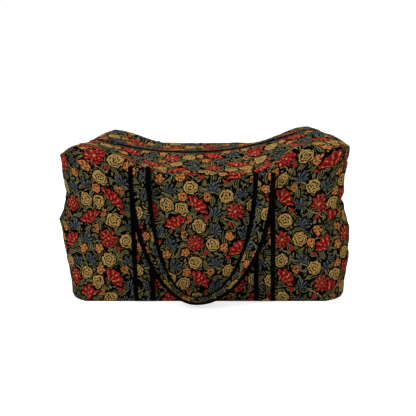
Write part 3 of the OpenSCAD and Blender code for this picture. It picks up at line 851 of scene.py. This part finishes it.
def stitch_row(name, path, edge):
    piece = stitch(name)
    row = piece.modifiers.new("row", "ARRAY")
    row.count = int((path[0][-1] - 2 * STITCH) / STITCH_PITCH)
    row.use_relative_offset = False
    row.use_constant_offset = True
    row.constant_offset_displace = (STITCH_PITCH, 0, 0)
    bpy.ops.object.modifier_apply(modifier=row.name)
    straight = np.empty(3 * len(piece.data.vertices))
    piece.data.vertices.foreach_get("co", straight)
    straight = straight.reshape(-1, 3)
    offset = edge * (BAND / 2 + BINDING_GAP + STITCH_INSET) + straight[:, 1]
    lift = BINDING_THICK / 2 + straight[:, 2]
    places = lay_along(path, straight[:, 0] + STITCH, offset, lift)
    piece.data.vertices.foreach_set("co", (places * MM).ravel())
    piece.data.update()
    piece.data.materials.append(webbing_and_slot_shade.material)
    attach(piece, "bag")
    print(f"{name}: {len(piece.data.polygons)} faces")


# %% Both straps
for word, side in (("front", FRONT), ("back", BACK)):
    path = strap_path(side)
    print(f"{word} strap is {path[0][-1]:.0f} mm long")
    strap_band(f"{word}_strap_cloth", side, path, f"{word}_strap_band")
    for edge, place in ((1, "outer"), (-1, "inner")):
        node = f"{word}_strap_{place}_binding"
        strap_binding(f"{word}_{place}_tape", side, path, edge, node)
        stitch_row(f"{word}_{place}_stitches", path, edge)

# %% [markdown]
# ## Tapestry
# The cloth is woven with a crowded pattern on a nearly black ground: red carnations and
# dahlias, golden rosettes, orange blossoms and slate-blue sprays over olive leaves. The real
# cloth repeats every 165 by 147 mm, and so does this one. Its motifs are scattered over one
# such tile: each one in turn is tried at many random places, and takes the one with the most
# room. The seed is fixed, so the cloth is the same each time.

# %% Motifs on one tile
TILE = np.array((165.0, 147.0))
KINDS = (("dahlia", 2, 16.5), ("carnation", 3, 16.5), ("spray", 7, 15.0), ("rosette", 6, 13.0),
         ("blossom", 5, 8.5), ("cluster", 3, 8.0), ("berry", 4, 3.8))
TRIES, MOST_TURN = 400, 0.8


def scatter(kinds):
    """Lists of (x, y, radius, turn) by kind, on the repeating tile."""
    draw = np.random.default_rng(5)
    placed, motifs = [], {}
    for kind, count, radius in kinds:
        for _ in range(count):
            spots = draw.uniform((0, 0), TILE, (TRIES, 2))
            room = np.full(TRIES, TILE.max())
            for x, y, reach, turn in placed:
                away = np.abs(spots - (x, y))
                away = np.minimum(away, TILE - away)
                room = np.minimum(room, np.hypot(*away.T) - reach)
            x, y = spots[np.argmax(room)]
            placed.append((x, y, radius, draw.uniform(-MOST_TURN, MOST_TURN)))
            motifs.setdefault(kind, []).append(placed[-1])
    return motifs


motifs = scatter(KINDS)
print({kind: len(spots) for kind, spots in motifs.items()}, "on a tile")

# %% [markdown]
# Each point of the cloth finds the nearest motif of a kind with a wrapped distance. The place
# is first snapped to the size of a thread, which gives the stepped outlines of weaving, and
# then wobbled, as in hand-drawn work. Leaves are thin, so a steadier place draws them, with a
# third of the wobble. Everything is worked out in millimetres of cloth.

# %% Cloth coordinates
THREAD_STEP, WOBBLE, WOBBLE_WAVE = 0.55, 6.0, 6.5

uv = tapestry.node("ShaderNodeUVMap")
cloth = tapestry.vector("MULTIPLY", uv, (1000.0, 1000.0, 0.0))
picks = tapestry.vector("SNAP", cloth, (THREAD_STEP, THREAD_STEP, 1.0))
wobble = tapestry.noise(picks, 1 / WOBBLE_WAVE, detail=1.0, out=1)
wobble = tapestry.vector("SUBTRACT", wobble, (0.5, 0.5, 0.5))
drawn = tapestry.vector("MULTIPLY_ADD", wobble, (WOBBLE, WOBBLE, 0.0), picks)
steady = tapestry.vector("MULTIPLY_ADD", wobble, (WOBBLE / 3, WOBBLE / 3, 0.0), picks)


def nearest(kind):
    """The place on the nearest motif, upright and with the motif's radius as its unit."""
    found, best = None, None
    for x, y, radius, turn in motifs[kind]:
        away = tapestry.vector("SUBTRACT", drawn, (x, y, 0))
        away = tapestry.vector("WRAP", away, (*TILE / 2, 1), (*-TILE / 2, -1))
        away = tapestry.vector("SCALE", away, scale=1 / radius)
        away = tapestry.node("ShaderNodeVectorRotate", {"rotation_type": "Z_AXIS"},
                             {"Vector": away, "Angle": turn})
        length = tapestry.vector("LENGTH", away, out=1)
        if found is None:
            found, best = away, length
        else:
            found = tapestry.blend_places(length < best, found, away)
            best = tapestry.math("MINIMUM", best, length)
    return found


def polar(place, foot=0.0):
    """The distance from a point below the motif's middle, and the angle from upright."""
    moved = tapestry.vector("ADD", place, (0, foot, 0))
    x, y = tapestry.split(moved)
    return tapestry.vector("LENGTH", moved, out=1), tapestry.math("ARCTAN2", x, y)


def petals(angle, count, turn=0.0):
    """1 on a petal's middle line and 0 between two petals."""
    return abs(tapestry.math("COSINE", angle * (count / 2) + turn))


# %% [markdown]
# The colours are those of old wool: the reds are strong, the greens and blues are nearly
# spent. Every motif is painted over the ones below it with a dark line round it, as the
# weaver's ground shows there. Most motifs are rings of colour, each inside the last.

# %% Palette
GROUND, DUST = linear(4, 4, 3), linear(9, 8, 6)
CREAM, ROSE = linear(196, 172, 122), linear(160, 64, 48)
RED, WINE = linear(180, 34, 34), linear(74, 8, 10)
GOLD, BRONZE = linear(198, 160, 90), linear(36, 25, 11)
ORANGE, RUST = linear(212, 132, 70), linear(86, 40, 16)
OLIVE, MOSS, STRAW = linear(74, 77, 50), linear(7, 9, 6), linear(158, 146, 96)
SLATE, MIST, NIGHT = linear(55, 64, 72), linear(118, 126, 125), linear(7, 9, 12)


def paint_over(mask, new):
    """The colour so far, with the new one where the mask is 1."""
    return tapestry.blend(mask, colour, new)


def rings(reach, *layers):
    """The colour so far, with each layer's colour where the reach is below its radius."""
    painted = colour
    for radius, paint in layers:
        painted = tapestry.blend(reach < radius, painted, paint)
    return painted


# %% [markdown]
# Leaves come first. A Voronoi texture scatters them: every cell gives a centre, from which
# the leaf is drawn, and a random colour, which turns the leaf its own way. A leaf is a curved
# lens with a light rim and midrib. Three layers of them, the largest on top, leave little of
# the ground bare.

# %% Leaves
def leaves(spacing, length, width, bend, corner):
    """How far inside the nearest leaf's rim a point is, off its midrib, and a random share."""
    place = tapestry.vector("ADD", steady, corner)
    cells = tapestry.node("ShaderNodeTexVoronoi", {"voronoi_dimensions": "2D"},
                          {"Vector": place, "Scale": 1 / spacing, "Randomness": 0.8})
    outputs = cells.socket.node.outputs
    tint, _ = tapestry.split(Wire(tapestry, outputs["Color"]))
    x, y = tapestry.split(tapestry.vector("SUBTRACT", place, Wire(tapestry, outputs["Position"])))
    turn = tint * (4 * math.pi)
    cosine, sine = tapestry.math("COSINE", turn), tapestry.math("SINE", turn)
    along = x * cosine + y * sine
    across = abs(y * cosine - x * sine + along * along * (bend / length))
    return width * (1 - (along / length) ** 2) - across, across, tint


# Spacing, half length, half width, bend and corner of each layer
LEAF_LAYERS = ((11.0, 7.5, 2.0, 0.4, (3, 8, 0)), (15.5, 11.0, 3.1, -0.5, (47, 31, 0)),
               (22.0, 16.0, 4.6, 0.6, (0, 0, 0)))
LEAF_RIM, LEAF_GAP, MIDRIB = 0.7, 3.8, 0.4

colour = tapestry.blend(tapestry.noise(picks, 0.5), GROUND, DUST)
for layer in LEAF_LAYERS:
    inside, across, tint = leaves(*layer)
    colour = paint_over(inside > -LEAF_GAP, GROUND)
    colour = paint_over(inside > 0.0, STRAW)
    colour = paint_over(inside > LEAF_RIM, tapestry.blend(tint, MOSS, OLIVE))
    colour = paint_over((across < MIDRIB) * (inside > LEAF_RIM), STRAW)

# %% [markdown]
# Stems curl between the leaves. Each is a wave across the tile that meets itself at the
# tile's edge, so it needs a whole number of waves.

# %% Stems
STEM_WIDTH = 0.7


def off_stem(base, height, waves, phase):
    """The distance from a stem's middle line."""
    x, y = tapestry.split(drawn)
    turn = x * (2 * math.pi * waves / TILE[0]) + phase
    rise = tapestry.math("SINE", turn) * height + tapestry.math("SINE", turn * 2) * (height / 3)
    gap = abs(tapestry.math("WRAP", y - rise - base, TILE[1] / 2, -TILE[1] / 2))
    slope = tapestry.math("COSINE", turn) * (height * 2 * math.pi * waves / TILE[0])
    return gap / tapestry.math("SQRT", slope * slope + 1)


for base, height, waves, phase in ((18, 12, 2, 0.4), (66, 15, 1, 2.1), (104, 10, 3, 1.0)):
    gap = off_stem(base, height, waves, phase)
    colour = rings(gap, (2 * STEM_WIDTH, GROUND), (STEM_WIDTH, STRAW))

# %% [markdown]
# A spray is one broad leaf with pointed lobes that fan out from its foot. Its lobes' middle
# lines are light and its edges are dark.

# %% Sprays
reach, angle = polar(nearest("spray"), foot=0.75)
lobe = petals(angle, 11)
rim = reach / (0.55 + 0.75 * lobe) / tapestry.math("COSINE", angle * 0.62)
facing = tapestry.math("COSINE", angle) > -0.5
colour = paint_over((rim < 1.22) * facing, GROUND)
colour = paint_over((rim < 1.05) * facing, NIGHT)
colour = paint_over((rim < 0.98) * facing, tapestry.blend(lobe ** 2, NIGHT, SLATE))
colour = paint_over((rim < 0.9) * facing * (lobe > 0.975), MIST)

# %% [markdown]
# Berries grow alone, with a light ring, or five together. The five are one berry repeated
# round the cluster by folding the angle.

# %% Berries
reach, angle = polar(nearest("berry"))
colour = rings(reach, (1.3, GROUND), (1.0, ROSE), (0.7, RED))

CLUSTER_COUNT, CLUSTER_RING = 5, 0.62
reach, angle = polar(nearest("cluster"))
turn = tapestry.math("PINGPONG", angle, math.pi / CLUSTER_COUNT)
sideways = tapestry.math("SINE", turn) * reach
outwards = tapestry.math("COSINE", turn) * reach - CLUSTER_RING
ball_reach = tapestry.math("SQRT", sideways * sideways + outwards * outwards)
colour = rings(ball_reach, (0.42, GROUND), (0.32, ORANGE), (0.14, RUST))

# %% [markdown]
# Blossoms have five round petals. A rosette is a ball of folded petals seen from above, and
# a spiral of bronze lines over gold gives its folds.

# %% Blossoms and rosettes
reach, angle = polar(nearest("blossom"))
petal = petals(angle, 5)
rim = reach / (0.72 + 0.28 * petal ** 0.6)
colour = rings(rim, (1.3, GROUND), (1.0, ORANGE))
colour = paint_over((rim < 0.82) * (petal < 0.75), RUST)
colour = paint_over(reach < 0.2, GOLD)

reach, angle = polar(nearest("rosette"))
rim = reach / (0.86 + 0.14 * petals(angle, 7) ** 0.6)
spiral = reach * 2.6 + angle * (1 / (2 * math.pi)) + petals(angle, 5) * 0.4
lines = tapestry.step(0.42, 0.62, tapestry.math("FRACT", spiral))
colour = rings(rim, (1.22, GROUND), (1.0, tapestry.blend(lines, GOLD, BRONZE)))
colour = paint_over((rim > 0.9) * (rim < 1.0), GOLD)

# %% [markdown]
# A carnation is seen from the side, as a fan with a ragged rim on a green cup. A dahlia is
# seen from above, with rings of pointed petals. Their petals are wine red at the edges, and
# thin light lines run along some of them.

# %% Red flowers
def red_petals(reach, rim, petal, keep):
    """The colour so far, with a ring of petals that lie inside a rim of 1."""
    lines = (rim < 0.8) * (reach > 0.35) * (petal > 0.985) * keep
    painted = paint_over((rim < 1.0) * keep, ROSE)
    painted = tapestry.blend((rim < 0.95) * keep, painted, tapestry.blend(petal, WINE, RED))
    return tapestry.blend(lines, painted, CREAM)


FAN_FOOT, FAN_HALF, FAN_EDGE = 0.72, 1.05, 0.16

reach, angle = polar(nearest("carnation"), foot=FAN_FOOT)
petal = petals(angle, 13)
rim = reach / (1.35 + 0.28 * petal)
fan = abs(angle) < FAN_HALF
colour = paint_over((rim < 1.16) * (abs(angle) < FAN_HALF + FAN_EDGE), GROUND)
colour = red_petals(reach, rim, petal, fan)
colour = red_petals(reach, rim / 0.62, petals(angle, 9, 0.8), fan)
colour = rings(reach, (0.36, GROUND), (0.27, OLIVE))

reach, angle = polar(nearest("dahlia"))
for share, count, turn in ((1.0, 9, 0.0), (0.64, 8, 0.9), (0.34, 6, 0.3)):
    petal = petals(angle, count, turn)
    rim = reach / (share * (0.62 + 0.38 * petal))
    colour = paint_over(rim < 1.2, GROUND if share == 1.0 else WINE)
    colour = red_petals(reach, rim, petal, 1.0)
colour = paint_over(reach < 0.12, GOLD)

# %% [markdown]
# The weave shows as fine ribs, and its threads differ a little in tone. Wool scatters light
# softly, so the shader gets a high roughness and hardly any gloss.

# %% Weave and finish
RIB, WEFT, WEAVE_DEPTH = 1.1, 1.6, 0.00025
TONE_LOW, TONE_RANGE = 0.36, 1.04

x, y = tapestry.split(cloth)
ribs = tapestry.math("SINE", x * (2 * math.pi / RIB))
wefts = tapestry.math("SINE", y * (2 * math.pi / WEFT))
threads = ribs * 0.5 + wefts * 0.35 + tapestry.noise(cloth, 0.9) * 0.5
tone = TONE_LOW + TONE_RANGE * tapestry.noise(picks, 1.3)
shade = tapestry.node("ShaderNodeHueSaturation", None, {"Value": tone, "Color": colour})
tapestry.finish(shade, height=threads, depth=WEAVE_DEPTH, Roughness=1.0,
                Specular_IOR_Level=0.01)
print("tapestry has", len(tapestry.tree.nodes), "nodes")

# %% [markdown]
# ## Black webbing, zip and board
# The binding and the zip's tapes are woven black tape with fine cross ribs, a little greyer
# where it rubs. The zip's teeth are moulded black plastic, and its slider and pull are
# painted metal. The board inside is grey card.

# %% Black webbing
RIB_DEPTH = 0.0002


def black_tape(paint, where, pitch, rib_axis):
    """Woven tape with ribs at a pitch in millimetres across the given axis."""
    where = paint.vector("MULTIPLY", where, (1000.0, 1000.0, 1000.0))
    rib = paint.math("SINE", paint.split(where)[rib_axis] * (2 * math.pi / pitch))
    rub = paint.noise(where, 0.08, detail=3.0, space="3D")
    colour = paint.blend(paint.step(0.35, 0.75, rub), linear(3, 3, 3), linear(9, 8, 8))
    paint.finish(colour, height=rib, depth=RIB_DEPTH, Roughness=1.0, Specular_IOR_Level=0.02)


zip_tape = Paint("zip_tape")
black_tape(webbing_and_slot_shade, webbing_and_slot_shade.node("ShaderNodeUVMap"), 1.2, 1)
black_tape(zip_tape, zip_tape.node("ShaderNodeTexCoord", out=3), 1.0, 0)


# %% Plastic, metal and card
def plain_finish(name, dark, light, scale, roughness, metallic, depth):
    paint = Paint(name)
    where = paint.node("ShaderNodeTexCoord", out=3)
    grain = paint.noise(where, scale, detail=4.0, space="3D")
    colour = paint.blend(paint.step(0.3, 0.7, grain), linear(*dark), linear(*light))
    paint.finish(colour, roughness=paint.math("MULTIPLY_ADD", grain, 0.15, roughness),
                 height=grain, depth=depth, Metallic=metallic)
    return paint.material


teeth = plain_finish("teeth_plastic", (12, 12, 12), (24, 23, 23), 400.0, 0.35, 0.0, 0.00005)
slider = plain_finish("slider_paint", (14, 13, 13), (30, 29, 28), 250.0, 0.25, 0.3, 0.00003)
card = plain_finish("board_card", (92, 84, 74), (112, 102, 90), 120.0, 0.75, 0.0, 0.0001)

# %% Give the finishes to the solids that stay
NODE_FINISHES = {
    "front_zip_tape": zip_tape.material, "back_zip_tape": zip_tape.material,
    "front_zip_teeth": teeth, "back_zip_teeth": teeth,
    "left_zip_stops": teeth, "right_zip_stop": teeth,
    "zip_slider": slider, "zip_pull": slider, "base_board": card,
}
for node, material in NODE_FINISHES.items():
    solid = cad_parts[node]
    solid.data.materials.clear()
    solid.data.materials.append(material)
print("finished", len(NODE_FINISHES), "solids")

# %% [markdown]
# ## Floor and light
# The photo was taken on white, in soft light from the front and above. A wide floor keeps
# the bag's shadow. Its white comes from a share of emission that only the camera and mirror
# rays see, so that it adds no light to the bag.

# %% Floor
bpy.ops.object.select_all(action="DESELECT")
bpy.ops.mesh.primitive_grid_add(x_subdivisions=4, y_subdivisions=4, size=40)
floor = bpy.context.object
floor.name = "floor"

FLOOR_SHADE, FLOOR_GLOW = 0.8, 0.74
paint = Paint("floor")
rays = paint.tree.nodes.new("ShaderNodeLightPath").outputs
seen = Wire(paint, rays["Is Camera Ray"]) + Wire(paint, rays["Is Glossy Ray"])
seen = seen + Wire(paint, rays["Is Transmission Ray"])
strength = paint.math("MINIMUM", seen, 1.0) * FLOOR_GLOW
glow = paint.node("ShaderNodeEmission", None, {"Strength": strength})
both = paint.node("ShaderNodeAddShader", None, {1: glow})
paint.put(paint.shader.inputs["Base Color"], (FLOOR_SHADE, FLOOR_SHADE, FLOOR_SHADE, 1))
paint.put(paint.shader.inputs["Roughness"], 1.0)
paint.tree.links.new(paint.shader.outputs[0], both.socket.node.inputs[0])
paint.tree.links.new(both.socket, paint.tree.nodes["Material Output"].inputs["Surface"])
floor.data.materials.append(paint.material)

# %% Lamps and sky
LAMPS_AIM, SKY_LIGHT = Vector((0, 0, 0.15)), 0.34


def soft_lamp(name, place, size, power):
    """A square lamp that is turned to the bag."""
    data = bpy.data.lights.new(name, "AREA")
    data.size = size
    data.energy = power
    lamp = bpy.data.objects.new(name, data)
    lamp.location = place
    lamp.rotation_euler = (LAMPS_AIM - Vector(place)).to_track_quat("-Z", "Y").to_euler()
    bpy.context.scene.collection.objects.link(lamp)


soft_lamp("key", (-1.9, -1.7, 2.3), 1.8, 44)
soft_lamp("fill", (1.9, -2.0, 1.4), 1.8, 13)
soft_lamp("top", (-0.2, 0.4, 2.6), 1.6, 42)

world = bpy.data.worlds.new("studio")
bpy.context.scene.world = world
world.use_nodes = True
tree = world.node_tree
sky = tree.nodes["Background"]
sky.inputs["Color"].default_value = (1, 1, 1, 1)
rays = tree.nodes.new("ShaderNodeLightPath")
level = tree.nodes.new("ShaderNodeMapRange")
level.inputs["To Min"].default_value = SKY_LIGHT
tree.links.new(rays.outputs["Is Camera Ray"], level.inputs["Value"])
tree.links.new(level.outputs["Result"], sky.inputs["Strength"])
